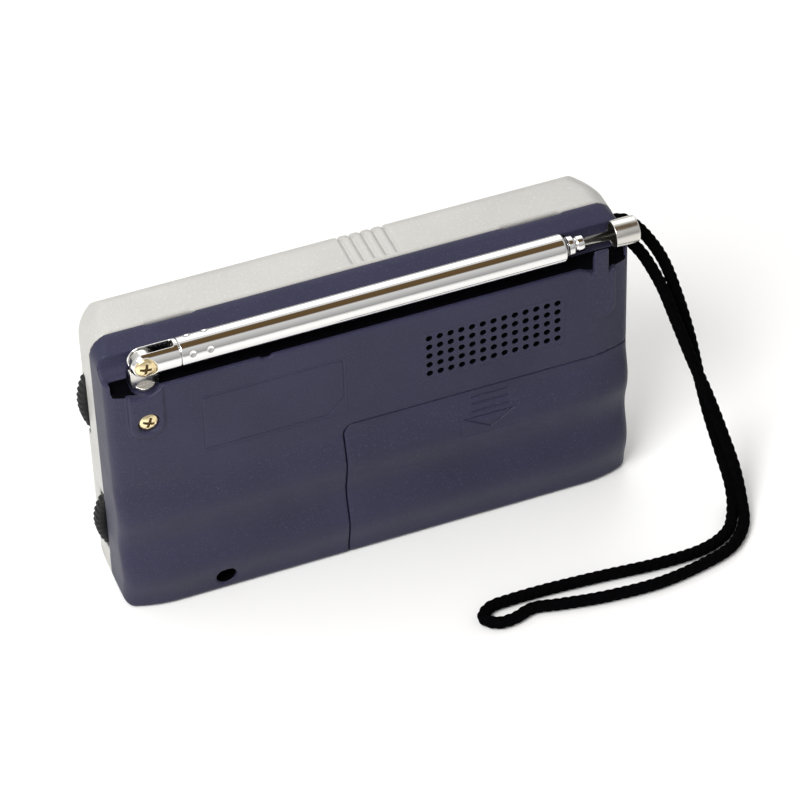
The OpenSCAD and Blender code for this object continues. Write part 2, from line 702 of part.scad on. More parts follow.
// Tube along X whose outer end is rolled over a little
module section_tube(i) {
    translate([0, aerial_y, aerial_z]) rotate([0, 90, 0]) rotate_extrude() polygon(i == 0
        ? [[section_bore[0], section_end[0]], [section_r[0] - 0.25, section_end[0]],
            [section_r[0], section_end[0] + 0.6], [section_r[0], section_start[0]],
            [section_bore[0], section_start[0]]]
        : [[section_bore[i], section_end[i]], [neck_r[i - 1] - 0.2, section_end[i]],
            [neck_r[i - 1], section_end[i] + 0.3], [neck_r[i - 1], section_end[i] + 1.9],
            [neck_r[i - 1] - 0.1, section_end[i] + 2.1], [section_r[i], section_end[i] + 2.7],
            [section_r[i], section_start[i]], [section_bore[i], section_start[i]]]);
}

module aerial_tube() color("silver") section_tube(0);
module aerial_section_2() color("silver") section_tube(1);
module aerial_section_3() color("silver") section_tube(2);
module aerial_rod() color("silver") rod_x(section_r[3], [cap_x[0] + 2, section_start[3]], aerial_y, aerial_z);

// Cup-shaped tip whose hollow faces the aerial
module aerial_cap() color("silver") difference() {
    rod_x(cap_r, cap_x, aerial_y, aerial_z);
    rod_x(cap_r - 0.6, [cap_x[0] + 2, far], aerial_y, aerial_z);
}

// ---- wrist strap ----

module strap_knot() color([0.05, 0.05, 0.05])
    translate([-62.2, 1.6, 69.9]) cylinder(r = 2.4, h = 5.6);

// Point between route points i and i + 1 of a smooth curve through them all, kept off the table
function on_table(p) = [p[0], p[1], max(p[2], strap_d / 2)];
function route_point(i, t) = let (n = len(strap_route) - 1,
    a = strap_route[max(0, i - 1)], b = strap_route[i], c = strap_route[min(n, i + 1)],
    d = strap_route[min(n, i + 2)])
    on_table(0.5 * (2 * b + (c - a) * t + (2 * a - 5 * b + 4 * c - d) * t * t
        + (3 * b - a - 3 * c + d) * t * t * t));
function unit(v) = v / norm(v);

strap_sides = 8;
strap_n = 2 * (len(strap_route) - 1);
strap_path = [for (k = [0 : strap_n]) k == strap_n ? strap_route[strap_n / 2]
    : route_point(floor(k / 2), k % 2 == 0 ? 0 : 0.5)];
function strap_tangent(k) = unit(strap_path[min(strap_n, k + 1)] - strap_path[max(0, k - 1)]);
function across(v, t) = unit(v - (v * t) * t);
// Each ring's first direction follows from the one before, so that the tube doesn't twist
strap_frames = [for (k = 0, side = across([0, 1, 0], strap_tangent(0)); k <= strap_n;
    k = k + 1, side = across(side, strap_tangent(min(k, strap_n)))) side];

module wrist_strap() color([0.03, 0.03, 0.03]) {
    points = [for (k = [0 : strap_n], s = [0 : strap_sides - 1])
        let (t = strap_tangent(k), u = strap_frames[k], v = cross(t, u), a = 360 * s / strap_sides)
        strap_path[k] + strap_d / 2 * (cos(a) * u + sin(a) * v)];
    walls = [for (k = [0 : strap_n - 1], s = [0 : strap_sides - 1]) let (q = (s + 1) % strap_sides)
        [k * strap_sides + s, (k + 1) * strap_sides + s, (k + 1) * strap_sides + q, k * strap_sides + q]];
    polyhedron(points, concat(walls, [[for (s = [0 : strap_sides - 1]) s]],
        [[for (s = [strap_sides - 1 : -1 : 0]) strap_n * strap_sides + s]]));
}

front_shell();
back_shell();
battery_door();
case_screws();
speaker_grille();
speaker_frame();
speaker_cone();
speaker_magnet();
dial_window();
dial_plate();
dial_pointer();
pointer_rail();
dial_cord();
tuning_wheel();
tuning_shaft();
tuning_capacitor();
volume_wheel();
volume_shaft();
volume_control();
band_switch_knob();
band_switch_body();
power_switch_knob();
power_switch_body();
tuning_lamp();
circuit_board();
board_screws();
ferrite_rod();
ferrite_coil();
ferrite_holder();
if_transformers();
electrolytics();
chips();
earphone_jack();
dc_jack();
aa_cell_1();
aa_cell_2();
contact_plates();
battery_springs();
aerial_swivel();
swivel_washer();
aerial_knuckle();
pivot_screw();
aerial_tube();
aerial_section_2();
aerial_section_3();
aerial_rod();
aerial_cap();
strap_knot();
wrist_strap();
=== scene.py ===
"""Looks of the pocket shortwave receiver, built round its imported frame.

Lengths in the shape code are millimetres, as in the CAD source, and mesh_piece() turns them
into metres. +X is the end with the thumbwheels, +Y the back and +Z up.
"""
import math

import bpy
import numpy as np
from mathutils import Matrix, Vector


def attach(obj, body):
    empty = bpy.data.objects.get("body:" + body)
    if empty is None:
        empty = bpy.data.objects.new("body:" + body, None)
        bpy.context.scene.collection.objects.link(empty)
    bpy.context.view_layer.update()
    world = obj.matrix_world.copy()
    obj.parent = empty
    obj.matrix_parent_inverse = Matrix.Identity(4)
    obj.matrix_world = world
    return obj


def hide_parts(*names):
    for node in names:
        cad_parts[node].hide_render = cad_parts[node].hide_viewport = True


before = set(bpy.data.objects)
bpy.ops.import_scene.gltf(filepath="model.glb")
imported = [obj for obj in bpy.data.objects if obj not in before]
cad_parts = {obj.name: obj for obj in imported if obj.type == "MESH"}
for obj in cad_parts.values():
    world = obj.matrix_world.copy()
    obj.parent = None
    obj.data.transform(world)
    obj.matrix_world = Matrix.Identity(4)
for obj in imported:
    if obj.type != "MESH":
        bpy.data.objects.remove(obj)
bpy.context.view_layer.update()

MM = 0.001

# ---- dimensions shared with the CAD ----

HALF_W = 67.5
CASE_H = 79.8
FRONT_D = 15.8
BACK_D = 14.2
WALL = 1.8
CORNER_R = 3.0
TOP_CORNER_R = 6.0
PLAN_R = 9.0
EDGE_R = 6.0

WAVE_H = 1.6
WAVE_TOP = 41.5
WAVE_PITCH = 20.0
BOW_START = 54.0
BOW_DEPTH = 3.0

AERIAL_Y = 10.2
AERIAL_Z = 77.3
PIVOT_X = 57.2
AERIAL_R = 3.65
GROOVE_R = 4.0
GROOVE_FLOOR = 70.6
LIP_Z = 71.9
POCKET_X = 65.9
SCOOP = (58.9, 77.4, 7.4)
WELL_R = 3.9
FIN_X = (-60.4, -56.4)
FIN_TOP = 77.3
PAD_REAR = 14.8
ROOF_START = 0.8
ROOF_SLOPE = 1.7 / 5.5

DOOR_X = 9.3
DOOR_Z = 43.0
DOOR_GAP = 0.25
DECK_Y = 9.6
BAY = (-63.0, -4.6)
BAY_Z = (3.1, 35.8)
BAY_FLOOR = -3.1

CASE_SCREWS = ((58.0, 61.6, 13.4), (41.9, 4.9, 3.5), (-62.5, 39.3, 3.5), (2.5, 39.3, 3.5))
HEAD_R = 2.5
DOME_R = 4.6
SHANK_R = 1.1

TUNING = (51.6, 51.8, 17.3)
VOLUME = (56.1, 18.3, 13.5)
SPEAKER = (-33.0, 38.0)

# Cooling holes: place of the first, pitch, radius, columns and rows
VENT_START = (-13.4, 63.7)
VENT_PITCH = 2.8
VENT_R = 0.83
VENT_COLUMNS = 13
VENT_ROWS = 5

# Finger grip: span and heights of its lines
GRIP_X = (-33.9, -24)
GRIP_LINES = (40.9, 38.8, 36.7)

# Steps of the grids that the solids are meshed on
CASE_STEP = 0.42
COVER_STEP = 0.4
SKIN_STEP = 0.16
HINGE_STEP = 0.13
SCREW_STEP = 0.07

# Patches of the back with a finer mesh: limits along X, then along Z
VENT_SKIN = (-49.2, -11.2), (50.4, 65.8)
LABEL_SKIN = (7.9, 45.3), (47.5, 65.3)
GRIP_SKIN = (-36.2, -20.8), (30.0, 42.3)

STRAP_D = 3.2
STRAP_ROUTE = (
    (-65.4, 2.8, 75.2), (-69.5, 2.8, 74.2), (-74, 3.4, 69.6), (-79, 4.8, 60.5), (-82, 7.5, 50),
    (-83.8, 12, 39), (-84.6, 17, 28), (-85.2, 22, 19.5), (-86, 28, 11.3), (-86.2, 33.5, 5.2),
    (-84.2, 39.2, 2), (-80, 45, 1.7), (-72, 48.4, 1.7), (-60, 48.8, 1.7), (-44, 47.4, 1.7),
    (-30, 46.5, 1.7), (-20, 46.4, 1.7), (-15, 47, 1.7), (-12.4, 49.8, 1.7), (-15, 52.6, 1.7),
    (-19.5, 52.7, 1.7), (-25, 51.2, 1.7), (-32, 52.6, 1.7), (-43, 54.4, 1.7), (-57, 55.1, 1.7),
    (-70, 53.2, 1.7), (-79, 50.2, 1.7), (-85, 44.2, 1.7), (-87.3, 37.5, 4.6), (-87.7, 32, 10.4),
    (-86.6, 26, 18.3), (-84.8, 21, 26.8), (-82.5, 17.2, 34.8), (-80, 13, 44.5), (-77.3, 8.8, 54.8),
    (-74, 5.6, 62.8), (-71, 4, 67.6), (-69, 2.9, 70.9), (-65.4, 2.8, 71.8),
)


# ---- camera ----

def make_camera():
    """A long lens above and to the left of the set's back."""
    azimuth, elevation, roll = math.radians(160.2), math.radians(42.11), math.radians(-1.99)
    target = Vector((-10.8, -0.86, 32.15)) * MM
    distance = 0.97298
    back = Vector((math.sin(azimuth) * math.cos(elevation),
                   -math.cos(azimuth) * math.cos(elevation), math.sin(elevation)))
    level_right = (-back).cross(Vector((0, 0, 1))).normalized()
    level_up = level_right.cross(-back)
    right = math.cos(roll) * level_right + math.sin(roll) * level_up
    up = math.cos(roll) * level_up - math.sin(roll) * level_right
    data = bpy.data.cameras.new("camera")
    data.lens = 175.8
    data.sensor_width = 36
    camera = bpy.data.objects.new("camera", data)
    turn = Matrix((right, up, back)).transposed()
    camera.matrix_world = Matrix.Translation(target + distance * back) @ turn.to_4x4()
    bpy.context.collection.objects.link(camera)
    bpy.context.scene.camera = camera


# ---- materials ----

def noise_node(tree, scale, detail=2.0, stretch=(1, 1, 1)):
    """Noise in the object's own space, in metres."""
    nodes, links = tree.nodes, tree.links
    place = nodes.new("ShaderNodeTexCoord")
    mapping = nodes.new("ShaderNodeMapping")
    mapping.inputs["Scale"].default_value = stretch
    noise = nodes.new("ShaderNodeTexNoise")
    noise.inputs["Scale"].default_value = scale
    noise.inputs["Detail"].default_value = detail
    links.new(place.outputs["Object"], mapping.inputs["Vector"])
    links.new(mapping.outputs["Vector"], noise.inputs["Vector"])
    return noise


def ramp_between(tree, source, low, high, start=0.3, stop=0.7):
    """Colour between low and high as the source goes from start to stop."""
    ramp = tree.nodes.new("ShaderNodeValToRGB")
    ramp.color_ramp.elements[0].position = start
    ramp.color_ramp.elements[1].position = stop
    ramp.color_ramp.elements[0].color = (*low, 1)
    ramp.color_ramp.elements[1].color = (*high, 1)
    tree.links.new(source, ramp.inputs["Fac"])
    return ramp


def surface(name, colour, rough, metal=0.0, shine=0.5, blotch=0.06, blotch_scale=60, grain=0.0,
            grain_scale=2500, rough_range=0.08, stretch=(1, 1, 1), coat=0.0, alpha=1.0, specks=None):
    """Principled material with mottled colour and roughness and a fine bump.

    grain is the bump's depth in millimetres, and the scales are cycles per metre. specks is a
    colour, a scale and how strongly the specks cover the base.
    """
    made = bpy.data.materials.new(name)
    made.use_nodes = True
    tree = made.node_tree
    shader = tree.nodes["Principled BSDF"]
    shader.inputs["Metallic"].default_value = metal
    shader.inputs["Coat Weight"].default_value = coat
    shader.inputs["IOR"].default_value = 1.45
    shader.inputs["Specular IOR Level"].default_value = shine
    shader.inputs["Alpha"].default_value = alpha
    soft = noise_node(tree, blotch_scale, 4, stretch)
    low = [c * (1 - blotch) for c in colour]
    high = [min(1, c * (1 + blotch)) for c in colour]
    base = ramp_between(tree, soft.outputs["Fac"], low, high)
    colour_out = base.outputs["Color"]
    if specks:
        speck_colour, speck_scale, amount = specks
        fine = noise_node(tree, speck_scale, 1)
        mask = ramp_between(tree, fine.outputs["Fac"], (0, 0, 0), (amount, amount, amount), 0.62, 0.7)
        mix = tree.nodes.new("ShaderNodeMixRGB")
        mix.inputs["Color2"].default_value = (*speck_colour, 1)
        tree.links.new(mask.outputs["Color"], mix.inputs["Fac"])
        tree.links.new(colour_out, mix.inputs["Color1"])
        colour_out = mix.outputs["Color"]
    tree.links.new(colour_out, shader.inputs["Base Color"])
    worn = noise_node(tree, blotch_scale * 3, 3, stretch)
    span = tree.nodes.new("ShaderNodeMapRange")
    span.inputs["To Min"].default_value = max(0.02, rough - rough_range)
    span.inputs["To Max"].default_value = min(1, rough + rough_range)
    tree.links.new(worn.outputs["Fac"], span.inputs["Value"])
    tree.links.new(span.outputs["Result"], shader.inputs["Roughness"])
    if grain:
        fine = noise_node(tree, grain_scale, 3, stretch)
        bump = tree.nodes.new("ShaderNodeBump")
        bump.inputs["Distance"].default_value = grain * MM
        tree.links.new(fine.outputs["Fac"], bump.inputs["Height"])
        tree.links.new(bump.outputs["Normal"], shader.inputs["Normal"])
    return made


NAVY = surface("navy_plastic", (0.0225, 0.022, 0.049), 0.5, shine=0.28, blotch=0.10, blotch_scale=45,
               grain=0.03, grain_scale=1900, specks=((0.05, 0.05, 0.085), 2600, 0.6))
SILVER = surface("silver_plastic", (0.42, 0.412, 0.39), 0.42, blotch=0.035, blotch_scale=70, grain=0.02,
                 grain_scale=1500, specks=((0.56, 0.55, 0.53), 2300, 0.5), coat=0.1)
CHROME = surface("chrome", (0.8, 0.795, 0.785), 0.08, metal=1, blotch=0.02, blotch_scale=150, grain=0.002,
                 grain_scale=500, rough_range=0.03, stretch=(0.05, 1, 1))
NICKEL = surface("nickel", (0.66, 0.64, 0.6), 0.22, metal=1, blotch=0.05, blotch_scale=200, grain=0.004,
                 grain_scale=900, rough_range=0.05, stretch=(1, 0.1, 0.1))
BRASS = surface("brass", (0.85, 0.70, 0.42), 0.26, metal=1, blotch=0.14, blotch_scale=500, grain=0.012,
                grain_scale=1500, rough_range=0.1)
# Dark brass as painted shade in the screws' cross recesses
PAINTED_RECESS_SHADE = surface("recess_brass_painted_shade", (0.10, 0.065, 0.025), 0.5, metal=0.6, blotch=0.2, blotch_scale=400)
STEEL = surface("plated_steel", (0.45, 0.44, 0.42), 0.32, metal=1, blotch=0.06, blotch_scale=180,
                grain=0.004, grain_scale=1200)
BLACK = surface("black_plastic", (0.008, 0.008, 0.009), 0.48, shine=0.3, blotch=0.15, blotch_scale=120,
                grain=0.012, grain_scale=2200)
GLOSS_BLACK = surface("gloss_black", (0.012, 0.012, 0.013), 0.24, blotch=0.1, blotch_scale=120, grain=0.004,
                      grain_scale=900)
BRAID = surface("black_braid", (0.0012, 0.0012, 0.0015), 0.9, shine=0.02, blotch=0.3, blotch_scale=700,
                grain=0.05, grain_scale=4500)
# Near-black painted shade for deep hollows in the navy case: the aerial's trench, the vent holes and the low
# screw's hole
PAINTED_SHADE_BLACK = surface("shadow_black", (0.002, 0.002, 0.003), 0.9, shine=0.02, blotch=0.2, blotch_scale=300)
CELL = surface("cell_jacket", (0.05, 0.05, 0.065), 0.3, blotch=0.08, blotch_scale=90, grain=0.003,
               grain_scale=700)


# ---- meshes ----

def mesh_piece(name, points, faces, material, body, replaces=(), slot=None, smooth=True):
    """Object from points in millimetres and equal-sided faces, riding on a body."""
    points = np.asarray(points, dtype=np.float32) * MM
    mesh = bpy.data.meshes.new(name)
    if isinstance(faces, np.ndarray):
        corners = faces.shape[1]
        mesh.vertices.add(len(points))
        mesh.vertices.foreach_set("co", points.ravel())
        mesh.loops.add(faces.size)
        mesh.loops.foreach_set("vertex_index", faces.astype(np.int32).ravel())
        mesh.polygons.add(len(faces))
        mesh.polygons.foreach_set("loop_start", np.arange(len(faces), dtype=np.int32) * corners)
        mesh.update(calc_edges=True)
    else:
        mesh.from_pydata(points.tolist(), [], faces)
    mesh.validate()
    mesh.polygons.foreach_set("use_smooth", [smooth] * len(mesh.polygons))
    mesh.materials.append(material)
    piece = bpy.data.objects.new(name, mesh)
    bpy.context.collection.objects.link(piece)
    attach(piece, body)
    if replaces:
        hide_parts(*replaces)
    return piece


def tube_mesh(rings, closed_ends=True):
    """Faces and points of a skin over equal rings of points."""
    count, sides = len(rings), len(rings[0])
    points = np.concatenate(rings)
    i, j = np.meshgrid(np.arange(count - 1), np.arange(sides), indexing="ij")
    k = (j + 1) % sides
    faces = np.stack([i * sides + j, i * sides + k, (i + 1) * sides + k, (i + 1) * sides + j], -1)
    faces = [tuple(f) for f in faces.reshape(-1, 4).tolist()]
    if closed_ends:
        faces.append(tuple(range(sides - 1, -1, -1)))
        faces.append(tuple(range((count - 1) * sides, count * sides)))
    return points, faces


def lathe_x(profile, y, z, sides=72, dent=None):
    """Skin of revolution about a line along X; the profile is (x, radius) pairs."""
    turn = np.arange(sides) * 2 * math.pi / sides
    rings = []
    for x, radius in profile:
        r = np.full(sides, max(radius, 0.001))
        if dent:
            r = r - dent(x, turn)
        rings.append(np.stack([np.full(sides, x), y + r * np.cos(turn), z + r * np.sin(turn)], -1))
    return tube_mesh(rings)


def arc(cx, cr, radius, start, stop, steps=8):
    """Points on an arc in a profile's (x, radius) plane, angles in degrees."""
    angles = np.radians(np.linspace(start, stop, steps + 1))
    return [(cx + radius * math.cos(a), cr + radius * math.sin(a)) for a in angles]


# ---- solids as distance fields ----

def grid(low, high, step):
    """Coordinates of a grid that can be broadcast together, and its origin and step."""
    axes = [np.arange(a, b + step, step, dtype=np.float32) for a, b in zip(low, high)]
    x, y, z = axes
    return x[:, None, None], y[None, :, None], z[None, None, :], (np.array(low), step)


def cut(a, b):
    return np.maximum(a, -b)


def round_both(a, b, r):
    """Common part of a and b with its edge rounded to radius r."""
    u, v = np.maximum(a + r, 0), np.maximum(b + r, 0)
    return np.minimum(np.maximum(a, b), -r) + np.sqrt(u * u + v * v)


def round_cut(a, b, r):
    return round_both(a, -b, r)


def round_join(a, b, r):
    """Union of a and b with a fillet of radius r between them."""
    return -round_both(-a, -b, r)


def slab(v, low, high):
    return np.abs(v - (low + high) / 2) - (high - low) / 2


def block(x, y, z, xs, ys, zs):
    """Box between pairs of limits; None leaves an axis unlimited."""
    parts = [slab(v, *span) for v, span in ((x, xs), (y, ys), (z, zs)) if span]
    made = parts[0]
    for part in parts[1:]:
        made = np.maximum(made, part)
    return made


def disc(u, v, cu, cv, r):
    return np.sqrt((u - cu) ** 2 + (v - cv) ** 2) - r


def round_rect(u, v, us, vs, r):
    a = slab(u, *us) + r
    b = slab(v, *vs) + r
    return np.sqrt(np.maximum(a, 0) ** 2 + np.maximum(b, 0) ** 2) + np.minimum(np.maximum(a, b), 0) - r


def net(field, place):
    """Quads over the zero level of a distance field, and their points."""
    origin, step = place
    inside = field < 0
    corners = [(a, b, c) for a in (0, 1) for b in (0, 1) for c in (0, 1)]
    n = [s - 1 for s in field.shape]
    total = np.zeros(n, dtype=np.int8)
    for a, b, c in corners:
        total += inside[a:a + n[0], b:b + n[1], c:c + n[2]]
    mixed = (total > 0) & (total < 8)
    cells = np.argwhere(mixed)
    number = np.full(n, -1, dtype=np.int32)
    number[mixed] = np.arange(len(cells), dtype=np.int32)
    values = [field[cells[:, 0] + a, cells[:, 1] + b, cells[:, 2] + c] for a, b, c in corners]
    where = np.zeros((len(cells), 3))
    count = np.zeros(len(cells))
    for p in range(8):
        for q in range(p + 1, 8):
            along = np.array(corners[q]) - corners[p]
            if np.abs(along).sum() != 1:
                continue
            crossed = (values[p] < 0) != (values[q] < 0)
            t = np.where(crossed, values[p] / np.where(crossed, values[p] - values[q], 1), 0)
            where += crossed[:, None] * (np.array(corners[p]) + t[:, None] * along)
            count += crossed
    points = origin + step * (cells + where / count[:, None])
    quads = []
    for axis in range(3):
        u, v = [k for k in range(3) if k != axis]
        ahead = np.take(inside, range(1, field.shape[axis]), axis)
        here = np.take(inside, range(field.shape[axis] - 1), axis)
        edges = np.argwhere(here != ahead)
        edges = edges[(edges[:, u] > 0) & (edges[:, v] > 0) & (edges[:, u] < n[u]) & (edges[:, v] < n[v])]
        back_u, back_v = np.eye(3, dtype=int)[u], np.eye(3, dtype=int)[v]
        ring = [edges, edges - back_u, edges - back_u - back_v, edges - back_v]
        quad = np.stack([number[e[:, 0], e[:, 1], e[:, 2]] for e in ring], -1)
        leaving = here[edges[:, 0], edges[:, 1], edges[:, 2]]
        flip = leaving if axis != 1 else ~leaving
        quads.append(np.where(flip[:, None], quad, quad[:, ::-1]))
    return points, np.concatenate(quads)


# ---- case ----

def wave(z):
    """How far the lower back stands out from its flat plane."""
    ripple = WAVE_H * (1 - np.cos(2 * math.pi * (WAVE_TOP - z) / WAVE_PITCH)) / 2
    return np.where(z < 1.5, -((1.5 - z) / 1.5) ** 2, np.where(z < WAVE_TOP, ripple, 0))


def bow(x):
    past = np.maximum(np.abs(x) - BOW_START, 0) / (HALF_W - BOW_START)
    return BOW_DEPTH * past ** 2


def outline(x, z, d, more=0.0):
    """The case seen from the front, reduced by d, with rounder corners above; more widens them all."""
    sides = (-HALF_W + d, HALF_W - d)
    lower = round_rect(x, z, sides, (d, CASE_H + 20), CORNER_R + more / 2 - d / 2)
    upper = round_rect(x, z, sides, (-20, CASE_H - d), TOP_CORNER_R + more - d / 2)
    return np.maximum(lower, upper)


def front_block(x, y, z, d):
    """The front shell's outside, reduced by d."""
    forward = np.clip((-5 - y) / (FRONT_D - 5), 0, 1)
    seen_front = outline(x, z, d, 8 * forward ** 1.5)
    seen_top = round_rect(x, y, (-HALF_W + d, HALF_W - d), (-FRONT_D + d, 60), PLAN_R - d)
    seen_side = round_rect(y, z, (-FRONT_D + d, 60), (d, CASE_H - d), EDGE_R - d)
    return round_both(np.maximum(seen_front, seen_side), seen_top, 0.6)


def rounded_slot(u, v, us, vs, r, w, span):
    """Slot with round corners seen along w."""
    return np.maximum(round_rect(u, v, us, vs, r), slab(w, *span))


def seam_gap(x):
    """Half the gap between the shells, which opens a little in two places."""
    return 0.03 + 0.4 * (smooth_band(x, 41, 53) + smooth_band(x, -53.5, -38))


def smooth_band(x, low, high):
    """1 between the limits, falling to 0 over a millimetre outside them."""
    return np.clip(np.minimum(x - low, high - x) + 0.5, 0, 1)


def front_shell():
    """The silver half: thumb grooves, wheel slots, dial window, loudspeaker, switches and sockets."""
    x, y, z, place = grid((-68.4, -16.7, -0.8), (68.4, 0.8, 80.8), CASE_STEP)
    outside = front_block(x, y, z, 0)
    shell = cut(outside, front_block(x, y, z, WALL))
    # five thumb grooves run over the top and down the front edge
    for i in range(5):
        groove = np.maximum(slab(x, -0.85 - 2.9 * i, -0.05 - 2.9 * i), slab(y, -40, -1.3))
        groove = np.maximum(groove, -(outside + 0.65))
        shell = round_cut(shell, np.maximum(groove, 60 - z), 0.3)
    # thumbwheel slots and the shallow panel that they sit in
    for (cx, cz, r), span in ((TUNING, (-11.8, -7.8)), (VOLUME, (-4.9, 1))):
        slot = np.maximum(disc(x, z, cx, cz, r + 0.6), slab(y, *span))
        shell = cut(shell, np.maximum(slot, 60 - x))
    shell = round_cut(shell, np.maximum(HALF_W - 0.5 - x, slab(z, 4, 70.3)), 0.2)
    # dial window, loudspeaker opening and their rebates
    shell = cut(shell, rounded_slot(x, z, (-3, 53), (47, 67), 1.5, y, (-20, -13)))
    shell = round_cut(shell, rounded_slot(x, z, (-4.5, 54.5), (45.5, 68.5), 2, y, (-20, -FRONT_D + 1)), 0.2)
    for r, depth in ((22.5, 3), (24, 0.8)):
        hole = np.maximum(disc(x, z, *SPEAKER, r), slab(y, -20, -FRONT_D + depth))
        shell = round_cut(shell, hole, 0.2)
    # slide switches: knob start, travel, width and height
    for start, travel, width, height in ((10.5, 21, 8, 29.5), (16.5, 5, 5, 16.5)):
        mid = start + width / 2
        shell = cut(shell, block(x, y, z, (mid - 2.3, mid + 2.3 + travel), (-20, -13),
                                 (height - 1.4, height + 1.4)))
        dish = rounded_slot(x, z, (start - 1, start + width + travel + 1), (height - 3.9, height + 3.9),
                            1.2, y, (-20, -FRONT_D + 0.6))
        shell = round_cut(shell, dish, 0.25)
    shell = cut(shell, np.maximum(disc(x, z, 50, 29.5, 1.5), slab(y, -20, -13)))
    for height, r in ((70, 3), (55, 3.6)):
        shell = cut(shell, np.maximum(disc(y, z, -5.4, height, r), x + 60))
    seam = np.broadcast_to(y + seam_gap(x), shell.shape)
    shell = round_both(shell, seam, 0.15)
    points, faces = net(shell, place)
    mesh_piece("front_case", points, faces, SILVER, "case", ["front_shell"], "front_shell")


def back_outside(x, y, z):
    """The back's outside: flat above, two waves below, bowed forward at both ends."""
    slope = WAVE_H * math.pi / WAVE_PITCH
    rear = (y - (BACK_D + wave(z) - bow(x))) / math.sqrt(1 + (0.6 * slope) ** 2)
    rounded = round_both(np.abs(x) - HALF_W, rear, 2.5)
    made = round_both(rounded, np.broadcast_to(outline(x, z, 0), rounded.shape), 0.5)
    roof = (z - CASE_H + ROOF_SLOPE * (y - ROOF_START)) / math.sqrt(1 + ROOF_SLOPE ** 2)
    return round_both(made, np.where(y < AERIAL_Y, roof, -9) + 0 * x, 0.4)


def pad(x, y, z, cx, low, r, top):
    """Upright tongue with a round lower end and softened edges."""
    seen = np.minimum(disc(x, z, cx, low + r, r), np.maximum(np.abs(x - cx) - r, low + r - z))
    return np.maximum(round_both(seen + 0 * y, slab(y, 9, PAD_REAR) + 0 * x + 0 * z, 0.35), z - top)


def lip(x, z):
    """Positive under the cradle's rear edge, which dips beside the fin and ends higher."""
    points = ((-90, 72.4), (-66.5, 72.4), (-60.4, 69.7), (-56.4, 70.4), (-53.2, LIP_Z),
              (26.2, LIP_Z), (27, 71.3), (28.6, 71.4), (29.4, LIP_Z), (62.8, LIP_Z), (63.6, 73.4), (90, 73.4))
    height = np.interp(x.ravel(), *zip(*points)).astype(np.float32).reshape(x.shape)
    return height - z


def cradle(x, y, z):
    """Room for the folded aerial and its hinge."""
    bed = disc(y, z, AERIAL_Y, AERIAL_Z, GROOVE_R)
    above = np.maximum(np.maximum(AERIAL_Y - GROOVE_R - y, AERIAL_Z - z), y - 12.9)
    deep = np.maximum(np.maximum(slab(y, AERIAL_Y - 0.8, 12.9), GROOVE_FLOOR - z), np.abs(x) - POCKET_X)
    behind = np.maximum(12.5 - y, lip(x, z))
    fin = block(x, y, z, FIN_X, (13.3, 15.5), (60, FIN_TOP))
    behind = round_cut(behind, fin, 0.25)
    well = np.maximum(disc(x, y, PIVOT_X, AERIAL_Y, WELL_R), 69.9 - z)
    scoop = np.maximum(disc(x, z, *SCOOP), AERIAL_Y - 0.8 - y)
    room = np.minimum(np.minimum(bed, above), np.minimum(deep, well))
    return np.minimum(np.minimum(room, behind), scoop)


